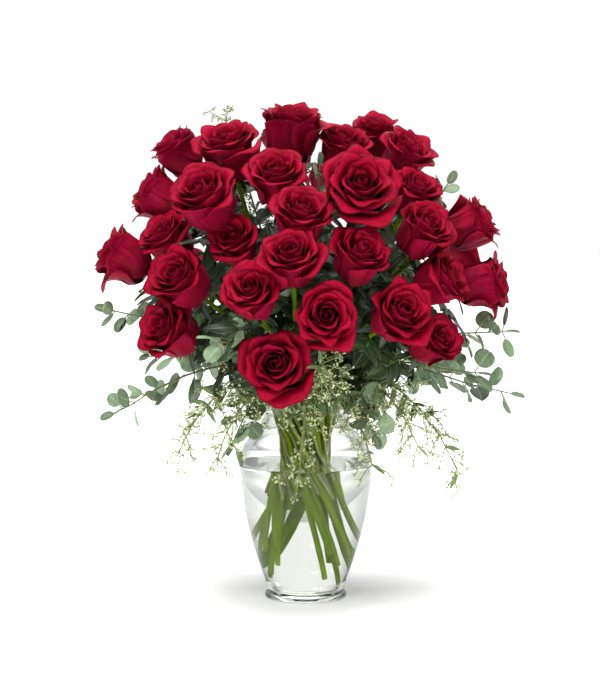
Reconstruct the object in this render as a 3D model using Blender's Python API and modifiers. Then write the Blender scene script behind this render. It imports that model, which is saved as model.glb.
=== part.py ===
"""Three dozen red roses with eucalyptus in a clear glass vase of water.

Metres, +Z up. The origin is the centre of the vase's foot, on the surface that it stands on.
The front of the bouquet looks along -Y. A bearing is measured from the front, positive to +X,
and a rise is measured up from the horizontal, both in degrees.
"""

import math

import bmesh
import bpy
import numpy as np
from mathutils import Matrix, Vector

MM = 0.001

# Vase: a foot disc, a body that swells to a belly, a shoulder, a neck and a flared rim.
VASE_HEIGHT = 245 * MM
FOOT_RADIUS = 49.5 * MM
FOOT_HEIGHT = 8 * MM
FOOT_BEVEL = 1.5 * MM
WAIST_RADIUS = 45.5 * MM
WAIST_HEIGHT = 13 * MM
BELLY_RADIUS = 81 * MM
BELLY_HEIGHT = 166 * MM
BELLY_FULLNESS = 1.8
SHOULDER_FULLNESS = 1.25
NECK_RADIUS = 50 * MM
NECK_DROP = 25 * MM  # the neck's narrowest place, below the rim
RIM_RADIUS = 56 * MM
WALL = 3 * MM
FLOOR = 11 * MM
FLOOR_CORNER = 6 * MM  # the rounding between the floor and the cavity's wall
CORNER_STEP = 1.5 * MM  # from the floor to the wall's first ring
LIP_DROP = 1 * MM  # from the rim's crest to the wall's last ring
WALL_RINGS = 12
VASE_SIDES = 32
WELD = 0.01 * MM  # points nearer than this are one

# Water
WATER_DEPTH = 150 * MM
GAP = 0.3 * MM  # between pieces that touch

# Stems
ROSE_STEM_RADIUS = 3 * MM
SPRIG_STEM_RADIUS = 1.6 * MM
STEM_CLEARANCE = 0.9 * MM
WALL_CLEARANCE = 1.2 * MM
WAIST_DEPTH = 72 * MM  # from the rim down to where the bunch of stems is narrowest
STEM_PACKING = 0.58  # the share of the bunch's narrowest section that stems and clearances fill
SHORT_CUT = 0.84  # where the short stems end, as a share of the water's depth
SHORT_SPREAD = 0.16  # how much that varies from stem to stem
SHORT_WAVES = 5  # how often it rises and falls around the bunch
SHORT_MIDDLE = 0.3  # the stems within this share of the bunch's radius are short
SHORT_ASIDE = 0.3  # so are those that lean sideways by less than this share of their lean
SHORT_FADE = 0.2  # how soon the stems beyond those shares are long
FOOT_STEP = 1 * MM
LIP_LIFT = 9 * MM  # where the stems start to bend, above the rim
UPPER_POINTS = 6  # points on a stem from the lip to its end
BEND_REACH = 0.38  # how far a stem keeps its direction at each end of its bend, as a share of the bend
LEAST_RISE = 20 * MM  # a stem's end counts as at least this far above the neck
EASING_ROUNDS = 900
EASING_PUSH = 0.6
PARTING_ROUNDS = 220
PARTING_PUSH = 0.75
DRAW_BACK = 0.03  # how far a bent stem returns to its own bend in one round
DRAW_BACK_ROUNDS = 132
SETTLED = 1e-6  # an overlap, in metres, that is too small to count

# Bouquet: blooms sit on a dome above the rim.
DOME_WIDTH = 410 * MM
DOME_DEPTH = 380 * MM
DOME_HEIGHT = 235 * MM
DOME_LIFT = 85 * MM  # the dome's centre, above the rim
BLOOM_CORE = 0.88  # the closed part of a bloom, as a share of its petals' width
BLOOM_SIDES = 8
CALYX_RADIUS = 7 * MM
CALYX_DEPTH = 2 * MM
STEM_IN_BLOOM = 4 * MM
SEAT = 0.46  # from a bloom's middle back to the top of its stem, in petal widths
BLOOM_SHAPE = (  # (radius, height over the middle) from the crown down, as shares of the core's radius
    (0.0, 0.86),
    (0.62, 0.80),
    (0.94, 0.42),
    (0.98, 0.02),
    (0.72, -0.55),
)

# Blades
BLADE_THICKNESS = 1.2 * MM
BLADE_SIDES = 8
BLADE_WIDTH = 0.88  # as a share of its length
BLADES = 4
BLADE_TRIES = 24
BLADE_IN_STEM = 1 * MM
BLADE_LEAN = math.radians(30)  # from square to the stem towards its tip
BLADE_BASE = 0.35  # the share of its length, next to its stem, that may be near other pieces
BLADE_ROOM = 3 * MM  # from a blade to a bloom
BLADE_STEM_ROOM = 7 * MM  # from a blade to another stem
BLADE_VASE_ROOM = 5 * MM  # from a blade to the vase
CHANCE_SEED = 7

# bearing, rise, reach as a share of the dome, the way it faces (bearing, rise), petals' width in mm
ROSES = (
    (-27, 79, 0.97, 25, 75, 73),
    (-53, 58, 1.01, -25, 60, 72),
    (-87, 50, 1.12, -75, 50, 60),
    (-84, 38, 1.04, -85, 35, 66),
    (-43, 38, 1.01, -30, 42, 75),
    (-16, 51, 0.93, -5, 48, 66),
    (-2, 34, 0.96, 10, 48, 67),
    (-35, 32, 0.80, -20, 40, 56),
    (-69, 27, 0.93, -50, 45, 62),
    (-82, 18, 1.09, -80, 30, 68),
    (-49, 15, 0.93, -35, 30, 68),
    (-5, 19, 1.04, -5, 42, 66),
    (-17, 11, 0.98, -12, 35, 64),
    (-56, -1, 0.90, -45, 25, 68),
    (6, 5, 1.01, 3, 12, 67),
    (21, 40, 1.05, 8, 30, 81),
    (51, 73, 0.91, 20, 60, 60),
    (111, 65, 1.03, 10, 70, 60),
    (74, 55, 1.02, 45, 50, 62),
    (56, 42, 0.98, 35, 50, 56),
    (46, 27, 1.00, 35, 40, 66),
    (86, 28, 1.06, 80, 30, 63),
    (18, 21, 0.98, 25, 42, 63),
    (51, 15, 0.96, 65, 25, 62),
    (78, 12, 1.04, 75, 10, 64),
    (31, 5, 0.96, 25, 25, 68),
    (50, -4, 0.91, 40, 25, 58),
    (-11, -11, 0.82, -8, 12, 76),
    (115, 14, 1.00, 112, 25, 70),
    (148, 10, 0.98, 150, 20, 68),
    (-172, 16, 0.98, -170, 25, 72),
    (-136, 12, 0.98, -135, 20, 66),
    (128, 38, 1.00, 130, 40, 66),
    (168, 42, 0.98, 165, 45, 70),
    (-138, 38, 0.98, -140, 42, 68),
    (-165, 66, 0.96, 180, 65, 66),
)

# kind, tip's bearing, its distance from the axis and height over the rim in mm, its rise, blade length in mm
SPRIGS = (
    ("silver_dollar", 80, 240, 80, 5, 23),
    ("silver_dollar", 72, 212, 33, 0, 22),
    ("silver_dollar", 84, 246, 5, -5, 22),
    ("silver_dollar", 88, 170, 255, 60, 17),
    ("silver_dollar", -84, 236, 105, 15, 22),
    ("silver_dollar", -80, 232, -17, -30, 24),
    ("silver_dollar", 38, 128, -37, -60, 24),
    ("silver_dollar", -40, 132, -45, -60, 22),
    ("silver_dollar", -31, 190, 77, 10, 23),
    ("silver_dollar", 15, 62, 275, 70, 22),
    ("silver_dollar", 130, 232, 23, -10, 24),
    ("silver_dollar", -122, 232, 37, -5, 24),
    ("seeded", -54, 184, -59, -70, 20),
    ("seeded", -37, 172, -65, -75, 20),
    ("seeded", -4, 112, -83, -80, 18),
    ("seeded", 34, 136, -69, -75, 18),
    ("seeded", 70, 190, -83, -70, 20),
    ("seeded", 47, 176, -47, -65, 20),
    ("seeded", 6, 186, 51, 10, 18),
    ("seeded", -98, 98, 333, 70, 16),
    ("seeded", 160, 192, -49, -70, 20),
    ("seeded", -156, 188, -41, -70, 20),
)

GOLDEN_ANGLE = math.pi * (3 - math.sqrt(5))
SHELL_NECK_HEIGHT = VASE_HEIGHT - NECK_DROP
RIM_ROOM = RIM_RADIUS - WALL - WALL_CLEARANCE - ROSE_STEM_RADIUS
NECK_ROOM = NECK_RADIUS - WALL - WALL_CLEARANCE - ROSE_STEM_RADIUS
STEM_RADII = np.array([ROSE_STEM_RADIUS] * len(ROSES) + [SPRIG_STEM_RADIUS] * len(SPRIGS))
WAIST_ROOM = math.sqrt(((STEM_RADII + STEM_CLEARANCE / 2) ** 2).sum() / STEM_PACKING)


def direction(bearing, rise):
    """The unit vector that points to a bearing and a rise, in degrees."""
    b, r = math.radians(bearing), math.radians(rise)
    return np.array([math.cos(r) * math.sin(b), -math.cos(r) * math.cos(b), math.sin(r)])


def smooth_step(t):
    t = min(1.0, max(0.0, t))
    return t * t * (3 - 2 * t)


# --- the vase's outline -------------------------------------------------------------------------


def body_radius(z):
    """The body's outer radius at a height between the waist and the rim."""
    if z <= BELLY_HEIGHT:
        share = (BELLY_HEIGHT - z) / (BELLY_HEIGHT - WAIST_HEIGHT)
        return BELLY_RADIUS - (BELLY_RADIUS - WAIST_RADIUS) * max(0.0, share) ** BELLY_FULLNESS
    if z <= SHELL_NECK_HEIGHT:
        share = (z - BELLY_HEIGHT) / (SHELL_NECK_HEIGHT - BELLY_HEIGHT)
        return BELLY_RADIUS - (BELLY_RADIUS - NECK_RADIUS) * smooth_step(share ** SHOULDER_FULLNESS)
    flare = (z - SHELL_NECK_HEIGHT) / NECK_DROP
    return NECK_RADIUS + (RIM_RADIUS - NECK_RADIUS) * min(1.0, flare) ** 2


def inner_radius(z):
    """The cavity's radius at a height above the floor. Its corner with the floor is rounded."""
    lift = min(1.0, max(0.0, (z - FLOOR) / FLOOR_CORNER))
    rounding = FLOOR_CORNER * (1 - math.sqrt(1 - (1 - lift) ** 2))
    return body_radius(max(z, WAIST_HEIGHT)) - WALL - rounding


def outer_radius(z):
    """The glass's outer radius at any height, foot included."""
    return body_radius(z) if z > WAIST_HEIGHT else FOOT_RADIUS


def heights(low, high, count):
    return [low + (high - low) * k / (count - 1) for k in range(count)]


def cavity_wall():
    """(radius, height) pairs up the cavity's wall, from the middle of its floor to its rim."""
    levels = heights(FLOOR + CORNER_STEP, VASE_HEIGHT - LIP_DROP, WALL_RINGS)
    wall = [(inner_radius(z), z) for z in levels]
    return [(0.0, FLOOR), (inner_radius(FLOOR), FLOOR), *wall]


def vase_outline():
    """(radius, height) pairs down the outside and up the inside, so that the faces point out."""
    levels = heights(WAIST_HEIGHT, VASE_HEIGHT - LIP_DROP, WALL_RINGS + 1)
    down = [(body_radius(z), z) for z in reversed(levels)]
    foot = [
        (FOOT_RADIUS, FOOT_HEIGHT),
        (FOOT_RADIUS, FOOT_BEVEL),
        (FOOT_RADIUS - FOOT_BEVEL, 0.0),
        (0.0, 0.0),
    ]
    lip = [(RIM_RADIUS - WALL / 2, VASE_HEIGHT)]
    return lip + down + foot, cavity_wall() + lip


def inset(line, gap):
    """A line moved to its left by a gap, measured square to it."""
    line = np.array(line)
    ways = np.diff(line, axis=0)
    ways /= np.linalg.norm(ways, axis=1)[:, None]
    left = np.stack([-ways[:, 1], ways[:, 0]], axis=1)
    before, after = np.vstack([left[:1], left]), np.vstack([left, left[-1:]])
    return line + gap * (before + after) / (1 + (before * after).sum(axis=1))[:, None]


def water_outline():
    """The water's outline, a gap inside the cavity's wall, from its surface down to the floor."""
    top = FLOOR + WATER_DEPTH
    radii, levels = inset(cavity_wall(), GAP).T
    below = [(float(r), float(z)) for r, z in zip(radii, levels) if z < top - LIP_DROP]
    edge = float(np.interp(top, levels, radii))
    return [(0.0, top), (edge, top), *reversed(below)]


# --- meshes -------------------------------------------------------------------------------------


def new_object(name, data, collection):
    made = bpy.data.objects.new(name, data)
    collection.objects.link(made)
    return made


def turned(name, outline, sides, collection):
    """A solid of revolution about Z. Its outline runs from top to bottom at +X."""
    mesh = bpy.data.meshes.new(name)
    edges = [(k, k + 1) for k in range(len(outline) - 1)]
    mesh.from_pydata([(r, 0.0, z) for r, z in outline], edges, [])
    made = new_object(name, mesh, collection)
    screw = made.modifiers.new("Turn", "SCREW")
    screw.axis = "Z"
    screw.angle = math.tau
    screw.steps = screw.render_steps = sides
    screw.use_merge_vertices = True
    screw.merge_threshold = WELD
    return made


def tube(name, points, radius, collection):
    """A stem: a round tube along the points, with closed ends, as a mesh."""
    curve = bpy.data.curves.new(name, "CURVE")
    curve.dimensions = "3D"
    curve.bevel_depth = radius
    curve.bevel_resolution = 1
    curve.use_fill_caps = True
    spline = curve.splines.new("POLY")
    spline.points.add(len(points) - 1)
    for point, place in zip(spline.points, points):
        point.co = (*map(float, place), 1.0)
    return as_mesh(new_object(name, curve, collection), collection)


def as_mesh(made, collection):
    """Replaces an object by a mesh object of what its modifiers or bevel make, with its seams welded."""
    bpy.context.view_layer.update()
    graph = bpy.context.evaluated_depsgraph_get()
    mesh = bpy.data.meshes.new_from_object(made.evaluated_get(graph))
    work = bmesh.new()
    work.from_mesh(mesh)
    bmesh.ops.remove_doubles(work, verts=work.verts, dist=WELD)
    bmesh.ops.recalc_face_normals(work, faces=work.faces)
    work.to_mesh(mesh)
    work.free()
    name, matrix = made.name, made.matrix_world.copy()
    bpy.data.objects.remove(made)
    solid = new_object(name, mesh, collection)
    solid.matrix_world = matrix
    return solid


def combine(target, others, operation):
    """Adds or cuts other objects by Booleans. They stay as hidden helpers."""
    for other in others:
        boolean = target.modifiers.new(other.name, "BOOLEAN")
        boolean.operation = operation
        boolean.object = other
        other.hide_render = True
        other.display_type = "WIRE"


def paint(made, material):
    made.data.materials.clear()
    made.data.materials.append(material)
    if made.type == "MESH":
        made.data.shade_smooth()


def principled(name, colour, roughness, transmission=0.0):
    material = bpy.data.materials.new(name)
    material.use_nodes = True
    shader = material.node_tree.nodes["Principled BSDF"]
    shader.inputs["Base Color"].default_value = (*colour, 1.0)
    shader.inputs["Metallic"].default_value = 0.0
    shader.inputs["Roughness"].default_value = roughness
    shader.inputs["Transmission Weight"].default_value = transmission
    material.diffuse_color = (*colour, 1.0 - 0.7 * transmission)
    return material


# --- keeping things apart -----------------------------------------------------------------------


def spread_apart(centres, radii, rounds=200):
    """Moves balls until none is nearer to another than their radii and a gap."""
    centres = centres.copy()
    need = radii[:, None] + radii[None, :] + STEM_CLEARANCE
    np.fill_diagonal(need, 0.0)
    for _ in range(rounds):
        offset = centres[:, None] - centres[None, :]
        apart = np.linalg.norm(offset, axis=2)
        np.fill_diagonal(apart, 1.0)
        short = np.maximum(0.0, need - apart)
        if short.max() < SETTLED:
            break
        centres += 0.5 * (offset / apart[..., None] * short[..., None]).sum(axis=1)
    return centres


def nearest_on_pairs(a, b, c, d):
    """For each pair of segments a-b and c-d, how far along each their nearest points are."""
    u, v, w = b - a, d - c, a - c
    uu, uv, vv = (u * u).sum(1), (u * v).sum(1), (v * v).sum(1)
    uw, vw = (u * w).sum(1), (v * w).sum(1)
    cross = uu * vv - uv * uv
    s = np.clip(np.where(cross > 1e-14, (uv * vw - vv * uw) / np.maximum(cross, 1e-14), 0.5), 0, 1)
    t = np.clip((uv * s + vw) / vv, 0, 1)
    s = np.clip((uv * t - uw) / uu, 0, 1)
    return s, t


def stem_pattern():
    """How far the stems stand from the axis at the rim, and how far they turn down to twice the waist.

    Each stem is straight in the vase, and all turn the same way, so that they cross without meeting.
    """
    room = RIM_ROOM
    for _ in range(20):
        turn = 2 * math.acos(min(1.0, WAIST_ROOM / room))
        share = NECK_DROP / (2 * WAIST_DEPTH)
        at_neck = abs((1 - share) + share * complex(math.cos(turn), math.sin(turn)))
        room = min(RIM_ROOM, NECK_ROOM / at_neck)
    return room, turn


SLOT_RADIUS, STEM_TURN = stem_pattern()


def turn_of(depth):
    """What a place at the rim is multiplied by, as a complex number, at a depth below the rim."""
    share = depth / (2 * WAIST_DEPTH)
    return (1 - share) + share * complex(math.cos(STEM_TURN), math.sin(STEM_TURN))


def on_line(slot, z):
    """The point at height z on the straight stem through a place at the rim."""
    place = slot * turn_of(VASE_HEIGHT - z)
    return np.array([place.real, place.imag, z])


def cut_height(slot, long):
    """The lowest that a stem may reach.

    The stems that fan out to the vase's sides are long. Those in the bunch's middle, those that lean to
    its front or back, and the sprigs' are cut short.
    """
    foot = on_line(slot, FLOOR)
    out = smooth_step((abs(slot) / SLOT_RADIUS - SHORT_MIDDLE) / SHORT_FADE)
    aside = smooth_step((abs(foot[0]) / math.hypot(foot[0], foot[1]) - SHORT_ASIDE) / SHORT_FADE)
    share = SHORT_CUT + SHORT_SPREAD / 2 * math.sin(SHORT_WAVES * math.atan2(foot[1], foot[0]))
    return FLOOR + share * WATER_DEPTH * (1 - long * out * aside)


def foot_of(slot, radius, lowest):
    """Where a straight stem ends: at its lowest height, or where it first meets the wall or the floor."""
    z = VASE_HEIGHT
    while z > max(lowest, FLOOR + radius + WALL_CLEARANCE):
        lower = on_line(slot, z - FOOT_STEP)
        if math.hypot(lower[0], lower[1]) > inner_radius(lower[2]) - radius - WALL_CLEARANCE:
            break
        z -= FOOT_STEP
    return on_line(slot, z)


def sunflower(count):
    """Evenly spread places at the rim, as the seeds lie in a sunflower's head."""
    turns = [GOLDEN_ANGLE * k for k in range(count)]
    reaches = [SLOT_RADIUS * math.sqrt((k + 0.5) / count) for k in range(count)]
    return np.array([r * complex(math.cos(a), math.sin(a)) for r, a in zip(reaches, turns)])


def eased(slots, radii):
    """Moves the places at the rim until no two straight stems touch."""
    slots = slots.copy()
    first, second = np.triu_indices(len(slots), 1)
    need = radii[first] + radii[second] + STEM_CLEARANCE
    for _ in range(EASING_ROUNDS):
        feet = np.array([on_line(s, FLOOR) for s in slots])
        tops = np.array([on_line(s, VASE_HEIGHT + LIP_LIFT) for s in slots])
        s, t = nearest_on_pairs(feet[first], tops[first], feet[second], tops[second])
        here = feet[first] + (tops[first] - feet[first]) * s[:, None]
        there = feet[second] + (tops[second] - feet[second]) * t[:, None]
        short = need - np.linalg.norm(here - there, axis=1)
        if short.max() < SETTLED:
            break
        between = slots[first] - slots[second]
        push = EASING_PUSH * np.maximum(0.0, short) * between / np.abs(between)
        np.add.at(slots, first, push)
        np.add.at(slots, second, -push)
        slots *= np.minimum(1.0, SLOT_RADIUS / np.abs(slots))
    return slots


def matched(slots, ends):
    """Gives each stem's end the place at the rim that its stem leans towards, with few crossings."""
    count = len(slots)
    lean = turn_of(-DOME_LIFT)
    ways = slots * (lean / abs(lean)) / SLOT_RADIUS
    flat = np.array([complex(e[0], e[1]) for e in ends])
    slope = np.abs(flat) / np.maximum(ends[:, 2] - SHELL_NECK_HEIGHT, LEAST_RISE)
    rank = np.argsort(np.argsort(slope))
    wanted = flat / np.abs(flat) * np.sqrt((rank + 0.5) / count)
    cost = np.abs(wanted[:, None] - ways[None, :]) ** 2
    chosen = list(range(count))
    better = True
    while better:
        better = False
        for i in range(count):
            for j in range(i + 1, count):
                now = cost[i, chosen[i]] + cost[j, chosen[j]]
                if cost[i, chosen[j]] + cost[j, chosen[i]] < now - 1e-9:
                    chosen[i], chosen[j] = chosen[j], chosen[i]
                    better = True
    return slots[chosen]


def upper_curve(lip, leaving, end, arriving):
    """Points on one smooth bend from the vase's lip to the end of a stem."""
    handle = BEND_REACH * np.linalg.norm(end - lip)
    first, second = lip + leaving * handle, end - arriving * handle
    t = np.linspace(0, 1, UPPER_POINTS)[:, None]
    near_lip = (1 - t) ** 3 * lip + 3 * (1 - t) ** 2 * t * first
    near_end = 3 * (1 - t) * t**2 * second + t**3 * end
    return near_lip + near_end


def clear_of_vase(points, radius):
    """Moves points that are outside the vase's cavity away from its rim and its outside."""
    away = radius + WALL / 2 + 2 * STEM_CLEARANCE
    for p in points:
        out = math.hypot(p[0], p[1])
        ring = np.array([out - (RIM_RADIUS - WALL / 2), p[2] - (VASE_HEIGHT - WALL / 2)])
        near = np.linalg.norm(ring)
        if near < away:
            ring *= away / max(near, 1e-9)
            p[2] = VASE_HEIGHT - WALL / 2 + ring[1]
            p[:2] *= (RIM_RADIUS - WALL / 2 + ring[0]) / out
        clear = outer_radius(min(max(p[2], 0.0), VASE_HEIGHT)) + radius + 3 * STEM_CLEARANCE
        if p[2] < VASE_HEIGHT and out < clear:
            p[:2] *= clear / out


def part_stems(curves, radii, balls, ball_radii):
    """Bends the stems above the lip until they clear each other, the blooms and the vase.

    At first they are also drawn back a little to their own bends, and at last only pushed apart.
    """
    curves = curves.copy()
    rest = curves.copy()
    stems, points = curves.shape[:2]
    owner = np.repeat(np.arange(stems), points - 1)
    start = np.tile(np.arange(points - 1), stems)
    first, second = np.triu_indices(len(owner), 1)
    other = owner[first] != owner[second]
    first, second = first[other], second[other]
    need = radii[owner[first]] + radii[owner[second]] + STEM_CLEARANCE
    free = np.ones(points)
    free[0] = free[-1] = 0.0
    for turn in range(PARTING_ROUNDS):
        move = np.zeros_like(curves)
        a, b = curves[owner, start], curves[owner, start + 1]
        s, t = nearest_on_pairs(a[first], b[first], a[second], b[second])
        gap = a[first] + (b - a)[first] * s[:, None] - a[second] - (b - a)[second] * t[:, None]
        apart = np.maximum(np.linalg.norm(gap, axis=1), 1e-7)
        short = need - apart
        hit = short > 0
        push = PARTING_PUSH * gap[hit] / apart[hit, None] * short[hit, None]
        for index, share, sign in ((first[hit], s[hit], 1), (second[hit], t[hit], -1)):
            np.add.at(move, (owner[index], start[index]), sign * push * (1 - share)[:, None])
            np.add.at(move, (owner[index], start[index] + 1), sign * push * share[:, None])
        for k, (ball, size) in enumerate(zip(balls, ball_radii)):
            along = np.clip(((ball - a) * (b - a)).sum(1) / ((b - a) ** 2).sum(1), 0, 1)
            off = a + (b - a) * along[:, None] - ball
            near = np.linalg.norm(off, axis=1)
            inside = (near < size + radii[owner] + STEM_CLEARANCE) & (owner != k)
            lift = off[inside] / near[inside, None]
            lift *= (size + radii[owner[inside]] + STEM_CLEARANCE - near[inside])[:, None]
            reach = along[inside][:, None]
            np.add.at(move, (owner[inside], start[inside]), lift * (1 - reach))
            np.add.at(move, (owner[inside], start[inside] + 1), lift * reach)
        if turn < DRAW_BACK_ROUNDS:
            move += DRAW_BACK * (rest - curves)
        curves += move * free[None, :, None]
        for curve, radius in zip(curves, radii):
            clear_of_vase(curve[1:], radius)
    return curves


# --- roses --------------------------------------------------------------------------------------


def bloom_outline(width):
    """The closed part of a bloom, from its crown down to the calyx, about its own axis."""
    core = BLOOM_CORE * width / 2
    seat = SEAT * width
    rings = [(r * core, seat + h * core) for r, h in BLOOM_SHAPE]
    return [*rings, (CALYX_RADIUS, 0.0), (0.0, -CALYX_DEPTH)]


def facing(place, way):
    """The matrix that puts +Z along a way, at a place."""
    turn = Vector(way).to_track_quat("Z", "Y").to_matrix().to_4x4()
    return Matrix.Translation(Vector(place)) @ turn


def make_rose(name, points, way, width, materials, parts, helpers):
    """One rose: its bloom on the end of its stem, as one solid."""
    bloom = turned(name, bloom_outline(width), BLOOM_SIDES, helpers)
    bloom.matrix_world = facing(points[-1], way)
    bloom = as_mesh(bloom, parts)
    inside = points[-1] + np.array(way) * STEM_IN_BLOOM
    stem = tube(name + "_stem", [*points[:-1], inside], ROSE_STEM_RADIUS, helpers)
    combine(bloom, [stem], "UNION")
    paint(bloom, materials["petal"])
    return bloom


# --- greenery -----------------------------------------------------------------------------------


def blade_points(root, along, across, length):
    """A blade's rim: an oval that starts inside the stem."""
    middle = root + along * length / 2
    turns = [math.tau * (k + 0.5) / BLADE_SIDES for k in range(BLADE_SIDES)]
    half_length = along * (length / 2 + BLADE_IN_STEM)
    half_width = across * BLADE_WIDTH * length / 2
    return [middle + half_length * math.cos(a) + half_width * math.sin(a) for a in turns]


def blade_clear(rim, centre, taken, segments, balls, ball_radii):
    """Whether a blade stays clear of the blooms, the stems, the vase and the blades before it."""
    tests = [*rim, centre, *((r + centre) / 2 for r in rim)]
    a, b, radii = segments
    for p in tests:
        if (np.linalg.norm(balls - p, axis=1) < ball_radii + BLADE_ROOM).any():
            return False
        along = np.clip(((p - a) * (b - a)).sum(1) / ((b - a) ** 2).sum(1), 0, 1)
        off = np.linalg.norm(a + (b - a) * along[:, None] - p, axis=1)
        if (off < radii + BLADE_STEM_ROOM).any():
            return False
        vase_here = outer_radius(max(0.0, min(p[2], VASE_HEIGHT)))
        beside = p[2] < VASE_HEIGHT + BLADE_VASE_ROOM
        if beside and math.hypot(p[0], p[1]) < vase_here + BLADE_VASE_ROOM:
            return False
    return all(np.linalg.norm(centre - c) > reach + np.linalg.norm(rim[0] - centre) for c, reach in taken)


def blade_mesh(name, rim, normal, collection):
    """A thin flat solid with the given rim."""
    lift = normal * BLADE_THICKNESS / 2
    work = bmesh.new()
    low = [work.verts.new(Vector(p - lift)) for p in rim]
    face = work.faces.new(low)
    raised = bmesh.ops.extrude_face_region(work, geom=[face])
    moved = [v for v in raised["geom"] if isinstance(v, bmesh.types.BMVert)]
    bmesh.ops.translate(work, verts=moved, vec=Vector(2 * lift))
    bmesh.ops.recalc_face_normals(work, faces=work.faces)
    mesh = bpy.data.meshes.new(name)
    work.to_mesh(mesh)
    work.free()
    return new_object(name, mesh, collection)


def sprig_blades(points, length, taken, others, balls, ball_radii, chance):
    """(rim, normal) for each blade that finds room along the outer part of a sprig."""
    found = []
    segment = UPPER_POINTS - 2
    for k in range(BLADES):
        low = points[-1 - segment + k]
        high = points[-segment + k]
        root = (low + high) / 2
        ahead = (high - low) / np.linalg.norm(high - low)
        side = np.cross(ahead, (0.0, 0.0, 1.0) if abs(ahead[2]) < 0.9 else (1.0, 0.0, 0.0))
        side /= np.linalg.norm(side)
        for _ in range(BLADE_TRIES):
            roll = chance.uniform(0, math.tau)
            out = side * math.cos(roll) + np.cross(ahead, side) * math.sin(roll)
            along = out * math.cos(BLADE_LEAN) + ahead * math.sin(BLADE_LEAN)
            across = np.cross(ahead, out)
            rim = blade_points(root, along, across, length)
            centre = sum(rim) / len(rim)
            outer = [p for p in rim if np.linalg.norm(p - root) > BLADE_BASE * length]
            if blade_clear(outer, centre, taken, others, balls, ball_radii):
                taken.append((centre, length / 2))
                found.append((rim, np.cross(along, across)))
                break
    return found


def make_sprig(name, points, blades, material, parts, helpers):
    """One sprig: its stem and its blades, as one solid."""
    stem = tube(name, points, SPRIG_STEM_RADIUS, parts)
    leaves = [blade_mesh(f"{name}_blade_{k}", *blade, helpers) for k, blade in enumerate(blades)]
    combine(stem, leaves, "UNION")
    paint(stem, material)
    return stem


# --- the whole bouquet --------------------------------------------------------------------------


def bloom_places():
    """Each bloom's middle, the way that it faces and its core's radius."""
    dome = np.array([DOME_WIDTH / 2, DOME_DEPTH / 2, DOME_HEIGHT])
    centre = np.array([0.0, 0.0, VASE_HEIGHT + DOME_LIFT])
    middles = np.array([centre + direction(b, r) * dome * reach for b, r, reach, *_ in ROSES])
    ways = np.array([direction(fb, fr) for *_, fb, fr, _ in ROSES])
    cores = np.array([BLOOM_CORE * row[-1] * MM / 2 for row in ROSES])
    return spread_apart(middles, cores), ways, cores


def sprig_tips():
    """Each sprig's tip and the way that it points there."""
    tips, ways = [], []
    for _, bearing, out, up, rise, _ in SPRIGS:
        tips.append(direction(bearing, 0) * out * MM + np.array([0, 0, VASE_HEIGHT + up * MM]))
        ways.append(direction(bearing, rise))
    return np.array(tips), np.array(ways)


def stem_paths(ends, ways, balls, ball_radii):
    """The points of every stem, from its foot in the water to its end."""
    radii = STEM_RADII
    slots = eased(matched(sunflower(len(ends)), ends), radii)
    long = radii == ROSE_STEM_RADIUS
    feet = [foot_of(s, r, cut_height(s, is_long)) for s, r, is_long in zip(slots, radii, long)]
    lips = [on_line(s, VASE_HEIGHT + LIP_LIFT) for s in slots]
    uppers = []
    for foot, lip, end, way in zip(feet, lips, ends, ways):
        leaving = (lip - foot) / np.linalg.norm(lip - foot)
        uppers.append(upper_curve(lip, leaving, end, way))
    uppers = part_stems(np.array(uppers), radii, balls, ball_radii)
    return [np.vstack([foot, upper]) for foot, upper in zip(feet, uppers)]


def build():
    for old in list(bpy.data.objects):
        bpy.data.objects.remove(old)
    parts = bpy.data.collections.new("roses_in_vase")
    helpers = bpy.data.collections.new("helpers")
    for collection in (parts, helpers):
        bpy.context.scene.collection.children.link(collection)
    materials = {
        "glass": principled("clear glass", (0.95, 0.97, 0.97), 0.03, 1.0),
        "water": principled("water", (0.9, 0.95, 0.95), 0.02, 1.0),
        "petal": principled("rose petal", (0.45, 0.01, 0.03), 0.5),
        "silver_dollar": principled("grey-green leaf", (0.22, 0.32, 0.22), 0.6),
        "seeded": principled("seeded sprig", (0.33, 0.42, 0.15), 0.6),
    }

    outside, inside = vase_outline()
    vase = as_mesh(turned("vase", outside + inside, VASE_SIDES, helpers), parts)
    paint(vase, materials["glass"])

    middles, faces, cores = bloom_places()
    widths = np.array([row[-1] * MM for row in ROSES])
    seats = middles - faces * (SEAT * widths)[:, None]
    tips, tip_ways = sprig_tips()
    ends, ways = np.vstack([seats, tips]), np.vstack([faces, tip_ways])
    paths = stem_paths(ends, ways, middles, cores)

    for k, (path, way, width) in enumerate(zip(paths, faces, widths)):
        make_rose(f"rose_{k + 1:02d}", path, way, width, materials, parts, helpers)

    starts = np.vstack([path[:-1] for path in paths])
    stops = np.vstack([path[1:] for path in paths])
    owner = np.concatenate([[k] * (len(path) - 1) for k, path in enumerate(paths)])
    chance = np.random.default_rng(CHANCE_SEED)
    taken, counts = [], {}
    for k, (kind, *_, length) in enumerate(SPRIGS, start=len(ROSES)):
        counts[kind] = counts.get(kind, 0) + 1
        rest = owner != k
        segments = (starts[rest], stops[rest], STEM_RADII[owner[rest]])
        blades = sprig_blades(paths[k], length * MM, taken, segments, middles, cores, chance)
        make_sprig(f"{kind}_sprig_{counts[kind]:02d}", paths[k], blades, materials[kind], parts, helpers)

    water = as_mesh(turned("water", water_outline(), VASE_SIDES, helpers), parts)
    bores = []
    for k, (path, radius) in enumerate(zip(paths, STEM_RADII)):
        down = (path[0] - path[1]) / np.linalg.norm(path[0] - path[1])
        bores.append(tube(f"bore_{k}", [path[0] + down * GAP, path[1]], radius + GAP, helpers))
    combine(water, bores, "DIFFERENCE")
    paint(water, materials["water"])


build()
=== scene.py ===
"""Roses and eucalyptus in a glass vase of water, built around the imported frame."""

import math

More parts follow.
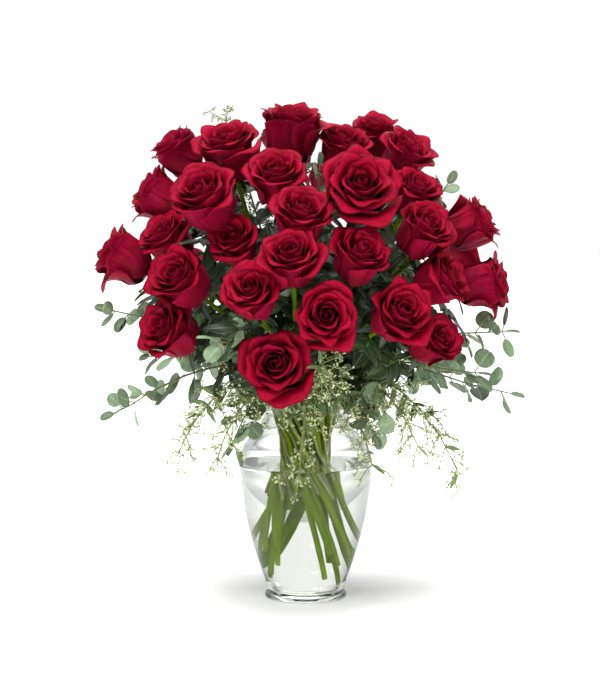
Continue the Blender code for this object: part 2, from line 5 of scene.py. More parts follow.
import bpy
import numpy as np
from bpy.props import FloatProperty, FloatVectorProperty, IntProperty, PointerProperty
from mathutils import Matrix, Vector


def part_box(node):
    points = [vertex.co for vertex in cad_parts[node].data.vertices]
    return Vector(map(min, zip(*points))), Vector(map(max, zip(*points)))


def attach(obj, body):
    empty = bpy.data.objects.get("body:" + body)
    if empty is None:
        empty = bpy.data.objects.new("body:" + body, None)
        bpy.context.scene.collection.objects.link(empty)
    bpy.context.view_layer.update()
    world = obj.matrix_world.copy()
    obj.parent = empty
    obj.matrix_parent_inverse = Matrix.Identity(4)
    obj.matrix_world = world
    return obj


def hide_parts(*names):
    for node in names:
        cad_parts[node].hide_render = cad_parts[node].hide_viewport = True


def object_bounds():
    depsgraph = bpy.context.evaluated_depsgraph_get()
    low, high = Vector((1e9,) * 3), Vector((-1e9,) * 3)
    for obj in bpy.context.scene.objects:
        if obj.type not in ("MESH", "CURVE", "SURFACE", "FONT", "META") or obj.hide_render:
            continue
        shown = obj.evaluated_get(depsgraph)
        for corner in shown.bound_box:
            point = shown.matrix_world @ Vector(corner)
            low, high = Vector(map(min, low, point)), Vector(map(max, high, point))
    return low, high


bl_info = {
    "name": "Roses in a vase",
    "version": (1, 0, 0),
    "blender": (4, 5, 0),
    "location": "View3D > Sidebar > Bouquet",
    "description": "Builds roses, eucalyptus, a glass vase and its water around a packed frame",
    "category": "Object",
}

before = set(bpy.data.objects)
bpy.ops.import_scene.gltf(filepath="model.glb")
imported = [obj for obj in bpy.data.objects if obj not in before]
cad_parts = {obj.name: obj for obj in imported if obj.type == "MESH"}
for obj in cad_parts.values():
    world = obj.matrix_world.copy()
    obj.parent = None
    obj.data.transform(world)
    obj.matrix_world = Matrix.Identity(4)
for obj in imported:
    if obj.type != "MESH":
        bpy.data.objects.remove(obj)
FRAME_LOW, FRAME_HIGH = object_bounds()

MM = 0.001
BODY = "root"
VASE_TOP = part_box("vase")[1][2]
WATER_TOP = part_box("water")[1][2]

# What the frame's solids are made with
ROSE_STEM_RADIUS = 3 * MM
SPRIG_STEM_RADIUS = 1.6 * MM
CALYX_RADIUS = 7 * MM
CORE_SHARE = 0.862  # the widest ring of a bloom's solid, as a share of its petals' width
FLOOR_THICKNESS = 11 * MM
MOUTH_RADIUS = 53 * MM
RING_TOLERANCE = 0.04 * MM

# Meshes
PETAL_ACROSS = 14
PETAL_ALONG = 12
PETAL_THICKNESS = 0.35 * MM
PETAL_REACH = 1.09  # how much larger the petals are than their own unit shape
LEAF_THICKNESS = 0.3 * MM
VASE_SIDES = 128
LEAF_TRIES = 10  # directions tried for each eucalyptus leaf or spray
ROSE_LEAF_TRIES = 14
ROSE_LEAF_DROPS = (26 * MM, 44 * MM, 64 * MM, 88 * MM, 114 * MM)  # how far below a bloom its leaves sit
SPRIG_SPACING = 4  # points of a sprig's line from one group of leaves to the next
RIM_CLEARANCE = 6 * MM
LEAFY_SHARE = 0.6  # the part of a sprig nearer the vase, which is fuller

# What each kind of part adds to its seed, so that no two draw alike
ROSE_GREEN_SEED = 1000
SILVER_DOLLAR_SEED = 2000
SEEDED_SEED = 3000

GOLDEN_ANGLE = math.pi * (3 - math.sqrt(5))


# --- reading the frame --------------------------------------------------------------------------


def corners(node):
    """A node's corner points, each once."""
    co = np.array([v.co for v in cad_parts[node].data.vertices], float)
    return np.unique(np.round(co, 7), axis=0)


def ring_centres(points, radius):
    """The centres of the rings of corner points with this radius, lowest first."""
    apart = np.linalg.norm(points[:, None] - points[None, :], axis=2)
    first, second = np.nonzero(np.triu(np.abs(apart - 2 * radius) < RING_TOLERANCE))
    found = []
    for centre in (points[first] + points[second]) / 2:
        around = np.abs(np.linalg.norm(points - centre, axis=1) - radius) < RING_TOLERANCE
        if around.sum() < 5:
            continue
        if all(np.linalg.norm(centre - other) > radius for other in found):
            found.append(centre)
    return np.array(sorted(found, key=lambda c: c[2])).reshape(-1, 3)


def chained(centres):
    """The centres in order along a stem: its foot, its place in the vase's mouth, then each one's nearest."""
    left = list(centres[1:])
    mouth = [k for k, c in enumerate(left) if c[2] > VASE_TOP and math.hypot(c[0], c[1]) < MOUTH_RADIUS]
    line = [centres[0], left.pop(min(mouth, key=lambda k: left[k][2]))]
    while left:
        nearest = min(range(len(left)), key=lambda k: np.linalg.norm(left[k] - line[-1]))
        line.append(left.pop(nearest))
    return np.array(line)


def eased_line(points, step=4 * MM, reach=14 * MM):
    """The line through the points, resampled evenly and with its corners rounded."""
    lengths = np.linalg.norm(np.diff(points, axis=0), axis=1)
    along = np.concatenate([[0], np.cumsum(lengths)])
    count = max(4, int(along[-1] / step))
    where = np.linspace(0, along[-1], count + 1)
    line = np.stack([np.interp(where, along, points[:, k]) for k in range(3)], axis=1)
    for _ in range(int(2 * (reach / step) ** 2 / 3)):
        line[1:-1] += 0.5 * ((line[:-2] + line[2:]) / 2 - line[1:-1])
    return line


class Bloom:
    """Where a rose's bloom sits: its seat, its axis, its width and its stem."""

    def __init__(self, node):
        points = corners(node)
        self.node = node
        self.seat = ring_centres(points, CALYX_RADIUS)[-1]
        stem = chained(ring_centres(points, ROSE_STEM_RADIUS))
        head = points[np.linalg.norm(points - self.seat, axis=1) > 1.8 * CALYX_RADIUS]
        from_stem = np.min(np.linalg.norm(head[:, None] - stem[None], axis=2), axis=1)
        head = head[from_stem > 1.5 * ROSE_STEM_RADIUS]
        axis = head.mean(axis=0) - self.seat
        self.axis = axis / np.linalg.norm(axis)
        off = head - self.seat
        flat = off - np.outer(off @ self.axis, self.axis)
        self.width = 2 * np.linalg.norm(flat, axis=1).max() / CORE_SHARE
        self.stem = np.vstack([stem, self.seat])
        self.middle = self.seat + self.axis * 0.46 * self.width


def nodes_named(start):
    return sorted(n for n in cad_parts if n.startswith(start))


BLOOMS = [Bloom(node) for node in nodes_named("rose_")]
MIDDLES = np.array([b.middle for b in BLOOMS])
REACHES = np.array([0.48 * b.width for b in BLOOMS])


def vase_wall(outside):
    """(radius, height) pairs of the frame's outer or inner wall, from the bottom up."""
    found = {}
    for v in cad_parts["vase"].data.vertices:
        out = math.hypot(v.co.x, v.co.y)
        if out < 5 * MM:
            continue
        facing = (v.normal.x * v.co.x + v.normal.y * v.co.y) / out
        if abs(facing) > 0.3 and (facing > 0) == outside:
            found.setdefault(round(v.co.z, 5), []).append(out)
    return np.array([(max(radii), z) for z, radii in sorted(found.items())])


OUTER_WALL = vase_wall(True)
INNER_WALL = vase_wall(False)


def vase_radius(z):
    """The vase's outer radius at a height."""
    return np.interp(z, OUTER_WALL[:, 1], OUTER_WALL[:, 0])


# --- making meshes ------------------------------------------------------------------------------


def unit(v):
    return np.asarray(v, float) / max(1e-12, np.linalg.norm(v))


def basis(axis, spin=0.0):
    """A matrix whose columns are two directions across an axis, and the axis."""
    axis = unit(axis)
    side = unit(np.cross(axis, (0, 0, 1) if abs(axis[2]) < 0.9 else (1, 0, 0)))
    other = np.cross(axis, side)
    across = side * math.cos(spin) + other * math.sin(spin)
    return np.stack([across, np.cross(axis, across), axis], axis=1)


def smooth_step(t):
    t = np.clip(t, 0, 1)
    return t * t * (3 - 2 * t)


class Shape:
    """Gathers grids, tubes and balls into one mesh. Its tint holds three shares for each point."""

    def __init__(self):
        self.points, self.faces, self.slots, self.tints = [], [], [], []
        self.count = 0

    def add(self, points, faces, slot, tint):
        self.points.append(points)
        self.faces.append(faces + self.count)
        self.slots.append(np.full(len(faces), slot))
        self.tints.append(tint)
        self.count += len(points)

    def grid(self, points, slot, tint, closed=False):
        """Faces over points in rows and columns. A closed grid's last row meets its first."""
        rows, columns = points.shape[:2]
        index = np.arange(rows * columns).reshape(rows, columns)
        if closed:
            index = np.vstack([index, index[:1]])
        quads = [index[:-1, :-1], index[1:, :-1], index[1:, 1:], index[:-1, 1:]]
        faces = np.stack([q.ravel() for q in quads], axis=1)
        self.add(points.reshape(-1, 3), faces, slot, tint.reshape(-1, 3))

    def tube(self, line, radii, slot, sides=8, chance_share=0.5):
        """A round tube along a line, closed at both ends by a small cone."""
        line = np.asarray(line, float)
        ways = np.gradient(line, axis=0)
        ways /= np.maximum(1e-12, np.linalg.norm(ways, axis=1))[:, None]
        across = basis(ways[0])[:, 0]
        rings = []
        turns = np.arange(sides) * math.tau / sides
        radii = np.broadcast_to(radii, len(line))
        for point, way, radius in zip(line, ways, radii):
            across = unit(across - way * (across @ way))
            other = np.cross(way, across)
            rings.append(point + radius * (np.outer(np.cos(turns), across) + np.outer(np.sin(turns), other)))
        first = line[0] - ways[0] * radii[0] * 0.3
        last = line[-1] + ways[-1] * radii[-1] * 0.3
        rings.insert(0, first + (rings[0] - line[0]) * 0.02)
        rings.append(last + (rings[-1] - line[-1]) * 0.02)
        rings = np.array(rings)
        share = np.linspace(0, 1, len(rings))
        tint = np.zeros((sides, len(rings), 3))
        tint[..., 0] = share[None, :]
        tint[..., 1] = (turns / math.tau)[:, None]
        tint[..., 2] = chance_share
        self.grid(rings.transpose(1, 0, 2), slot, tint, closed=True)

    def ball(self, centre, axis, radius, length, slot, share, sides=7, rows=5):
        """A small egg shape about an axis."""
        turns = np.arange(sides) * math.tau / sides
        rise = np.linspace(-0.49 * math.pi, 0.49 * math.pi, rows)
        across, other, axis = basis(axis).T
        rings = (
            np.cos(turns)[:, None, None] * np.cos(rise)[None, :, None] * across
            + np.sin(turns)[:, None, None] * np.cos(rise)[None, :, None] * other
        ) * radius + np.sin(rise)[None, :, None] * axis * length / 2
        tint = np.zeros((sides, rows, 3))
        tint[..., 0] = (rise / math.pi + 0.5)[None, :]
        tint[..., 2] = share
        self.grid(centre + rings, slot, tint, closed=True)

    def finished(self, name, materials):
        """The object of everything gathered, shaded smooth."""
        mesh = bpy.data.meshes.new(name)
        points = np.vstack(self.points)
        faces = np.vstack(self.faces)
        mesh.from_pydata(points.tolist(), [], faces.tolist())
        mesh.polygons.foreach_set("material_index", np.concatenate(self.slots).astype(np.int32))
        tint = mesh.attributes.new("tint", "FLOAT_COLOR", "POINT")
        colours = np.hstack([np.vstack(self.tints), np.ones((len(points), 1))])
        tint.data.foreach_set("color", colours.astype(np.float32).ravel())
        for material in materials:
            mesh.materials.append(material)
        mesh.shade_smooth()
        made = bpy.data.objects.new(name, mesh)
        bpy.context.scene.collection.objects.link(made)
        return made


def thicken(made, thickness, back=0):
    """Gives the object's sheets a thickness, and their backs the material that many slots on."""
    solid = made.modifiers.new("Thickness", "SOLIDIFY")
    solid.thickness = thickness
    solid.offset = 0.0
    solid.material_offset = back
    solid.material_offset_rim = 0


def stands_for(made, slot, *nodes):
    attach(made, BODY)
    if nodes:
        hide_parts(*nodes)


# --- roses --------------------------------------------------------------------------------------


def petal(age, turn, lean_more, open_share, chance):
    """One petal's points in rows across it, for a bloom 1 wide whose seat is at the origin.

    Age runs from 0 at the heart to 1 outside. A petal is a bowl from the seat up to the bloom's
    belly, and a wall above it that leans in near the heart, and leans out and rolls back outside.
    """
    u = np.linspace(-1, 1, PETAL_ACROSS + 1)[:, None]
    v = np.linspace(0, 1, PETAL_ALONG + 1)[None, :]

    def jitter(size):
        return chance.uniform(-size, size)

    base = 0.015 + 0.03 * age
    belly = (0.03 + 0.315 * age**0.8) * (1 + jitter(0.04))
    low = 0.03 + 0.05 * (1 - age)
    bowl_height = 0.30 - 0.07 * age
    crown = np.interp(age, (0, 0.3, 0.6, 1), (0.74, 0.83, 0.84, 0.76)) + jitter(0.025)
    lean = np.interp(age, (0, 0.25, 0.5, 0.8, 1), (-0.5, -0.32, -0.07, 0.14, 0.34)) * open_share
    lean = lean + jitter(0.08) + lean_more
    roll = np.interp(age, (0, 0.2, 0.45, 0.75, 1), (0.1, 0.45, 1.2, 1.9, 2.5)) * open_share + jitter(0.3)
    spread = min(3.4, (0.19 + 0.17 * age) / belly)
    peak = 0.07 * smooth_step((age - 0.3) / 0.4) * chance.uniform(0.3, 1.3)
    rim = 1 - 0.20 * np.abs(u) ** 2.4 + peak * np.exp(-(((u - jitter(0.2)) / 0.2) ** 2))
    rim = rim + 0.02 * np.sin(u * chance.uniform(4, 7) + chance.uniform(0, 6)) * age
    t = v * rim
    bowl = 0.40
    psi = np.clip(t / bowl, 0, 1) * math.pi / 2
    r = base + (belly - base) * np.sin(psi)
    z = low + bowl_height * (1 - np.cos(psi))
    s = np.clip((t - bowl) / (1 - bowl), 0, 1.25)
    table = np.linspace(0, 1.25, 80)
    wall = (crown - low - bowl_height) / 0.93
    edge = np.abs(u) ** 2
    out, up = 0, 0
    for share, weight in ((1 - edge, 1 - 0.3 * age), (edge, 1 + 0.4 * age)):
        phi = lean * table + roll * weight * smooth_step((table - 0.58) / 0.62)
        gain = table[1] * wall
        out = out + share * np.interp(s, table, np.cumsum(np.sin(phi)) * gain)
        up = up + share * np.interp(s, table, np.cumsum(np.cos(phi)) * gain)
    r = r + out
    z = z + up
    ruffle = (0.006 + 0.016 * age) * v**3
    r = r + ruffle * np.sin(u * chance.uniform(5, 9) + chance.uniform(0, 6.3))
    z = z + 0.7 * ruffle * np.sin(u * chance.uniform(4, 8) + chance.uniform(0, 6.3))
    r = r + (0.02 + 0.045 * smooth_step((age - 0.35) / 0.5)) * np.abs(u) ** 3.5 * smooth_step(v * 1.1)
    r = r + u * (0.014 + 0.005 * spread) * smooth_step(v * 3)
    r = np.maximum(r, 0.004 + 0.01 * v)
    narrow = 0.28 + 0.72 * smooth_step(t / 0.6)
    angle = turn + u * spread * narrow
    points = np.stack([r * np.cos(angle), r * np.sin(angle), z], axis=2)
    tint = np.zeros(points.shape)
    tint[..., 0] = v + 0 * u
    tint[..., 1] = u * 0.5 + 0.5 + 0 * v
    tint[..., 2] = age
    return points, tint


# Outer petals that hang open: the way each points from its bloom, and how much further it leans
LOOSE_PETALS = {
    "rose_28": ((0.55, -0.3, -1.0), 0.5),
    "rose_10": ((-1.0, -0.3, -0.3), 0.9),
    "rose_16": ((0.3, -0.2, -1.0), 0.5),
    "rose_25": ((0.5, -0.2, -1.0), 0.6),
    "rose_04": ((-1.0, 0.0, 0.3), 0.5),
    "rose_09": ((0.8, -0.5, -0.2), 0.4),
    "rose_15": ((0.6, -0.2, -1.0), 0.3),
    "rose_26": ((0.6, -0.3, -0.8), 0.4),
}


def make_bloom(bloom, petals, materials, seed):
    chance = np.random.default_rng(seed)
    shape = Shape()
    turned = basis(bloom.axis, chance.uniform(0, math.tau))
    hand = 1 if seed % 2 else -1
    open_share = chance.uniform(0.75, 1.15)
    way, droop = LOOSE_PETALS.get(bloom.node, (chance.normal(0, 1, 3), chance.uniform(0, 0.4)))
    across = turned.T @ np.array(way)
    last_turn = math.atan2(across[1] * hand, across[0])
    for k in range(petals):
        age = k / (petals - 1)
        turn = last_turn + (k - petals + 1) * GOLDEN_ANGLE + chance.uniform(-0.12, 0.12)
        lean_more = droop if k == petals - 1 else 0.0
        points, tint = petal(age, turn, lean_more, open_share, chance)
        points[..., 1] *= hand
        if hand < 0:
            points, tint = points[::-1], tint[::-1]
        shape.grid(bloom.seat + (points * bloom.width * PETAL_REACH) @ turned.T, 0, tint)
    made = shape.finished(bloom.node + "_petals", materials)
    thicken(made, PETAL_THICKNESS, back=1)
    stands_for(made, "rose_petal", bloom.node)


def leaf_points(root, along, up, length, width, outline, fold, curl, rows=8, columns=10, teeth=0.0):
    """A leaf blade's points: it leaves its root along a direction, and its upper side faces up."""
    u = np.linspace(-1, 1, rows + 1)[:, None]
    v = np.linspace(0.015, 0.99, columns + 1)[None, :]
    along = unit(along)
    across = unit(np.cross(up, along))
    up = np.cross(along, across)
    if outline == "round":
        half = np.sqrt(np.maximum(0, 1 - (2 * v - 1) ** 2)) ** 0.9
    elif outline == "narrow":
        half = np.sin(math.pi * v**0.8) ** 0.9
    else:
        half = np.sin(math.pi * v**0.75) ** 0.75 * (1 - 0.25 * v)
    half = half * (1 + teeth * np.sin(v * 60)) * width / 2
    height = fold * np.abs(u) * half - curl * length * v**2
    height = height + 0.02 * length * np.sin(u * 3 + v * 5)
    points = (
        np.asarray(root)
        + along * (v * length + 0 * u)[..., None]
        + across * (u * half)[..., None]
        + up * height[..., None]
    )
    tint = np.zeros(points.shape)
    tint[..., 0] = v + 0 * u
    tint[..., 1] = u * 0.5 + 0.5 + 0 * v
    return points, tint


def room_at(point):
    """How far a point is from the nearest bloom and from the vase's outside, in metres."""
    room = (np.linalg.norm(MIDDLES - point, axis=1) - REACHES).min()
    if point[2] < VASE_TOP + 4 * MM:
        room = min(room, math.hypot(point[0], point[1]) - vase_radius(max(0, point[2])) - 2 * MM)
    return room


def in_frame(point):
    """How far inside the frame's box a point is, with a few millimetres of grace."""
    low = np.array(FRAME_LOW) - 6 * MM
    high = np.array(FRAME_HIGH) + 6 * MM
    return min((np.asarray(point) - low).min(), (high - np.asarray(point)).min())


def best_way(root, ways, length):
    """Which of several directions gives a leaf of this length the most room."""
    scores = []
    for way in ways:
        tip, middle = root + way * length, root + way * length * 0.55
        room = min(room_at(tip), room_at(middle), 12 * MM)
        scores.append(room + min(0.0, in_frame(tip)) * 4)
    best = int(np.argmax(scores))
    return ways[best], scores[best]


def sepals(shape, bloom, chance):
    """The hip and its five sepals under a bloom."""
    frame_at = basis(bloom.axis, chance.uniform(0, math.tau))
    width = bloom.width
    turns = np.arange(10) * math.tau / 10
    rings = []
    for radius, height in ((0.3, -0.13), (0.62, -0.09), (0.92, -0.03), (1.0, 0.02), (0.8, 0.06)):
        ring = np.stack([np.cos(turns) * radius, np.sin(turns) * radius, 0 * turns], axis=1)
        rings.append(bloom.seat + (ring * CALYX_RADIUS * 0.85) @ frame_at.T + bloom.axis * height * width)
    rings = np.array(rings).transpose(1, 0, 2)
    shape.grid(rings, 0, np.full(rings.shape, 0.5), closed=True)
    for k in range(5):
        turn = k * math.tau / 5 + chance.uniform(-0.2, 0.2)
        out = frame_at @ np.array([math.cos(turn), math.sin(turn), 0])
        drop = chance.uniform(-0.9, 0.35)
        along = unit(out + bloom.axis * drop)
        root = bloom.seat + out * CALYX_RADIUS * 0.6
        points, tint = leaf_points(
            root, along, bloom.axis, width * chance.uniform(0.38, 0.5), width * 0.12,
            "narrow", 0.35, chance.uniform(0.0, 0.5), rows=4, columns=8,
        )
        shape.grid(points, 1, tint)


def rose_leaves(shape, bloom, chance, leaf_length):
    """Leaves of three or five toothed leaflets on the stem below a bloom."""
    line = eased_line(bloom.stem)
    far = np.linalg.norm(line - bloom.seat, axis=1)
    for drop in ROSE_LEAF_DROPS:
        root = line[int(np.argmin(np.abs(far - drop)))]
        if root[2] < VASE_TOP + 26 * MM:
            continue
        way = unit(bloom.seat - root)
        turned = basis(way)
        ways = []
        for _ in range(ROSE_LEAF_TRIES):
            roll = chance.uniform(0, math.tau)
            out = turned[:, 0] * math.cos(roll) + turned[:, 1] * math.sin(roll)
            ways.append(unit(out + way * chance.uniform(0.1, 0.7)))
        along, room = best_way(root, ways, leaf_length * 1.9)
        if room < -3 * MM:
            continue
        stalk = root + along * leaf_length * 0.95
        shape.tube(np.linspace(root, stalk, 5), 0.7 * MM, 0, sides=6)
        up = unit(np.cross(along, np.cross(unit(stalk - (0, 0, 0.3)) + (0, 0, 0.5), along)))
        side = np.cross(up, along)
        leaflets = [(stalk, along, 1.0)]
        for share, size in ((0.62, 0.85), (0.28, 0.7)):
            at = root + (stalk - root) * share * 1.2
            leaflets.append((at, unit(side + along * 0.7), size))
            leaflets.append((at, unit(-side + along * 0.7), size))
        for at, direction, size in leaflets:
            length = leaf_length * size * chance.uniform(0.85, 1.1)
            if min(room_at(at + direction * length), room_at(at + direction * length * 0.5)) < -1 * MM:
                continue
            points, tint = leaf_points(
                at, direction, up, length, length * 0.62, "oval", chance.uniform(0.1, 0.35),
                chance.uniform(0.0, 0.25), rows=6, columns=14, teeth=0.05,
            )
            tint[..., 2] = chance.uniform(0, 1)
            shape.grid(points, 1, tint)


def make_rose_green(bloom, leaf_length, materials, seed):
    chance = np.random.default_rng(ROSE_GREEN_SEED + seed)
    shape = Shape()
    line = eased_line(bloom.stem)
    share = np.linspace(0, 1, len(line))
    knots = 1 + 0.06 * np.sin(share * 40 + seed) ** 8
    radii = (ROSE_STEM_RADIUS * (1.0 - 0.22 * share)) * knots
    shape.tube(line, radii, 0, sides=12, chance_share=chance.uniform(0, 1))
    sepals(shape, bloom, chance)
    rose_leaves(shape, bloom, chance, leaf_length)
    made = shape.finished(bloom.node + "_stem", materials)
    thicken_leaves(made)
    stands_for(made, "foliage", bloom.node)


def thicken_leaves(made):
    """Gives the sheets on a stem a thickness. Tubes and balls are nearly closed, and barely change."""
    thicken(made, LEAF_THICKNESS)


# --- eucalyptus ---------------------------------------------------------------------------------


def sprig_line(node):
    """A sprig's stem, from its foot to its tip, with its share above the vase's rim."""
    line = eased_line(chained(ring_centres(corners(node), SPRIG_STEM_RADIUS)))
    above = np.nonzero(line[:, 2] > VASE_TOP + RIM_CLEARANCE)[0]
    return line, (above[0] if len(above) else len(line) // 2)


def stem_radii(line, start):
    """A sprig's stem narrows from the rim to its tip."""
    share = np.clip((np.arange(len(line)) - start) / max(1, len(line) - start), 0, 1)
    return SPRIG_STEM_RADIUS * (1 - 0.65 * share)


def leaf_ways(line, k, chance, spread):
    """Directions in which a leaf may leave a stem."""
    ahead = unit(line[min(k + 1, len(line) - 1)] - line[max(k - 1, 0)])
    turned = basis(ahead)
    ways = []
    for _ in range(LEAF_TRIES):
        roll = chance.uniform(0, math.tau)
        out = turned[:, 0] * math.cos(roll) + turned[:, 1] * math.sin(roll)
        ways.append(unit(out * spread + ahead * chance.uniform(0.2, 0.8)))
    return ways


def facing_out(point, along, chance):
    """The way that a leaf's upper side faces: up and away from the vase's axis."""
    out = unit((point[0], point[1], 0.0))
    wish = out * chance.uniform(0.3, 1.2) + np.array([0, 0, chance.uniform(0.2, 1.0)])
    wish = wish + chance.normal(0, 0.35, 3)
    return unit(wish - along * (wish @ along))


def make_silver_dollar(node, leaf_size, materials, seed):
    chance = np.random.default_rng(SILVER_DOLLAR_SEED + seed)
    line, start = sprig_line(node)
    shape = Shape()
    shape.tube(line, stem_radii(line, start), 0)
    for k in range(start - 2, len(line), SPRIG_SPACING):
        share = (k - start) / max(1, len(line) - start)
        for _ in range(3 if share < LEAFY_SHARE else 2):
            size = leaf_size * (1.2 - 0.35 * share) * chance.uniform(0.75, 1.2)
            ways = leaf_ways(line, k, chance, spread=chance.uniform(0.6, 1.3))
            along, room = best_way(line[k], ways, size * 1.25)
            if room < 0:
                continue
            stalk = line[k] + along * size * chance.uniform(0.15, 0.45)
            shape.tube(np.linspace(line[k], stalk, 4), 0.5 * MM, 0, sides=6)
            points, tint = leaf_points(
                stalk, along, facing_out(stalk, along, chance), size, size * chance.uniform(0.86, 1.02),
                "round", chance.uniform(-0.1, 0.3), chance.uniform(-0.1, 0.2),
            )
            tint[..., 2] = chance.uniform(0, 1)
            shape.grid(points, 1, tint)
    tip = unit(line[-1] - line[-3])
    points, tint = leaf_points(line[-1], tip, facing_out(line[-1], tip, chance), leaf_size * 0.7,
                               leaf_size * 0.5, "round", 0.2, 0.1)
    shape.grid(points, 1, tint)
    made = shape.finished(node + "_leaves", materials)
    thicken_leaves(made)
    stands_for(made, "foliage", node)


def seed_spray(shape, root, way, reach, fall, seed_size, chance):
    """A twig that falls over and ends in loose clusters of seed capsules. Returns whether it found room."""
    droop = np.array([0, 0, -1.0])
    steps = max(4, int(reach / (6 * MM)))
    line = [np.asarray(root, float)]
    heading = unit(way)
    for _ in range(steps):
        heading = unit(heading + droop * fall + chance.normal(0, 0.12, 3))
        line.append(line[-1] + heading * reach / steps)
    line = np.array(line)
    if min(room_at(p) for p in line[1:]) < 1 * MM or in_frame(line[-1]) < 0:
        return False
    shape.tube(line, np.linspace(0.6, 0.35, len(line)) * MM, 0, sides=5)
    for k in range(1, steps + 1):
        for _ in range(chance.integers(1, 3) if k < steps else 3):
            out = unit(chance.normal(0, 1, 3) + unit(line[k] - line[k - 1]) * 0.9)
            stalk = line[k] + out * chance.uniform(3, 8) * MM
            shape.tube(np.linspace(line[k], stalk, 3), 0.3 * MM, 0, sides=4)
            for _ in range(chance.integers(1, 4)):
                to = unit(out + chance.normal(0, 0.8, 3))
                centre = stalk + to * chance.uniform(1.2, 3.4) * MM
                size = seed_size * chance.uniform(0.7, 1.2)
                shape.tube(np.linspace(stalk, centre, 3), 0.22 * MM, 0, sides=4)
                shape.ball(centre, to, size * 0.42, size * 1.2, 2, chance.uniform(0, 1))
    return True


def make_seeded(node, leaf_length, seed_size, materials, seed):
    chance = np.random.default_rng(SEEDED_SEED + seed)
    line, start = sprig_line(node)
    shape = Shape()
    shape.tube(line, stem_radii(line, start), 0)
    upright = unit(line[-1] - line[-4])[2] > 0.4
    fall, spread = (0.0, 0.4) if upright else (0.16, 1.0)
    for k in range(start - 2, len(line), SPRIG_SPACING):
        share = (k - start) / max(1, len(line) - start)
        for _ in range(chance.integers(2, 5) if share < LEAFY_SHARE else chance.integers(0, 2)):
            ways = leaf_ways(line, k, chance, spread=0.8)
            length = leaf_length * chance.uniform(0.55, 1.0) * (1.1 - 0.4 * share)
            along, room = best_way(line[k], ways, length)
            if room < 0:
                continue
            points, tint = leaf_points(
                line[k], along, facing_out(line[k], along, chance), length,
                length * chance.uniform(0.16, 0.34), "narrow", 0.2, chance.uniform(0, 0.4), rows=4,
            )
            tint[..., 2] = chance.uniform(0, 1)
            shape.grid(points, 1, tint)
        for _ in range(3 if share < LEAFY_SHARE else 2):
            ways = leaf_ways(line, k, chance, spread=spread)
            reach = chance.uniform(18, 46) * MM * (1.2 - 0.5 * share)
            for way in ways:
                if seed_spray(shape, line[k], way, reach, fall, seed_size, chance):
                    break
    made = shape.finished(node + "_leaves", materials)
    thicken_leaves(made)
    stands_for(made, "seeded_foliage", node)


# --- vase and water -----------------------------------------------------------------------------


def revolved(name, outline, material):
    """A smooth solid of revolution about the upright axis, of (radius, height) pairs."""
    outline = np.array(outline)
    turns = np.arange(VASE_SIDES) * math.tau / VASE_SIDES
    rings = np.stack([
        np.outer(np.cos(turns), outline[:, 0]),
        np.outer(np.sin(turns), outline[:, 0]),
        np.broadcast_to(outline[:, 1], (VASE_SIDES, len(outline))),
    ], axis=2)
    shape = Shape()
    shape.grid(rings[:, ::-1], 0, np.zeros(rings.shape), closed=True)
    return shape.finished(name, [material])


def smooth_through(points, step=1.2 * MM, passes=3):
    """A smooth line through the points, by cubic curves, with its sharpest bends eased."""
    points = np.array(points, float)
    line = []
    padded = np.vstack([2 * points[0] - points[1], points, 2 * points[-1] - points[-2]])
    for a, b, c, d in zip(padded[:-3], padded[1:-2], padded[2:-1], padded[3:]):
        count = max(1, int(np.linalg.norm(c - b) / step))
        t = np.arange(count)[:, None] / count
        line.append(0.5 * (2 * b + (c - a) * t + (2 * a - 5 * b + 4 * c - d) * t**2
                           + (3 * b - a - 3 * c + d) * t**3))
    line = np.vstack([*line, points[-1:]])
    for _ in range(passes):
        line[1:-1] += 0.5 * ((line[:-2] + line[2:]) / 2 - line[1:-1])
    return line


def inner_line():
    """The cavity's wall, from the middle of its floor up to the lip."""
    wall = [(r, z) for r, z in INNER_WALL if z > FLOOR_THICKNESS + 6 * MM]
    foot = wall[0][0]
    floor = [(0.3 * MM, FLOOR_THICKNESS - 1 * MM), (0.3 * foot, FLOOR_THICKNESS - 1 * MM),
             (foot - 9 * MM, FLOOR_THICKNESS - 0.2 * MM), (foot - 3 * MM, FLOOR_THICKNESS + 2.5 * MM)]
    return smooth_through([*floor, *wall])


def make_vase(material):
    body = smooth_through([(r, z) for r, z in OUTER_WALL if z > 12 * MM], passes=2)[::-1]
    foot_radius = OUTER_WALL[0][0] + 1.5 * MM
    foot = smooth_through([
        body[-1], (body[-1][0] + 0.5 * MM, 10.5 * MM), (foot_radius - 1.2 * MM, 8.4 * MM),
        (foot_radius, 6 * MM), (foot_radius, 2.4 * MM), (foot_radius - 1 * MM, 0.6 * MM),
        (foot_radius - 4 * MM, 0.0),
    ], step=0.5 * MM)
    under = [(0.7 * foot_radius, 0.2 * MM), (0.6 * foot_radius, 1.6 * MM), (0.3 * MM, 1.8 * MM)]
    inside = inner_line()
    top = VASE_TOP
    edge, middle = body[0][0], (body[0][0] + inside[-1][0]) / 2
    lip = smooth_through([inside[-1], (inside[-1][0] + 0.3 * MM, top - 0.3 * MM), (middle, top),
                          (edge - 0.3 * MM, top - 0.3 * MM), body[0]], step=0.4 * MM, passes=1)
    made = revolved("vase_glass", [*inside[:-1], *lip, *body[1:-1], *foot, *under], material)
    stands_for(made, "clear_glass", "vase")


def make_water(material):
    """The water overlaps the glass a little, so that no film of air lies between them."""
    top = WATER_TOP
    wall = [(r + 0.5 * MM, z) for r, z in inner_line() if z < top]
    wall[0] = (0.3 * MM, wall[0][1] - 0.4 * MM)
    edge = wall[-1][0]
    surface = [(edge, top + 1.2 * MM), (edge - 1 * MM, top + 0.4 * MM), (edge - 3.5 * MM, top),
               (0.3 * MM, top)]
    made = revolved("water_body", [*wall, *surface][::-1], material)
    stands_for(made, "water", "water")


# --- materials ----------------------------------------------------------------------------------


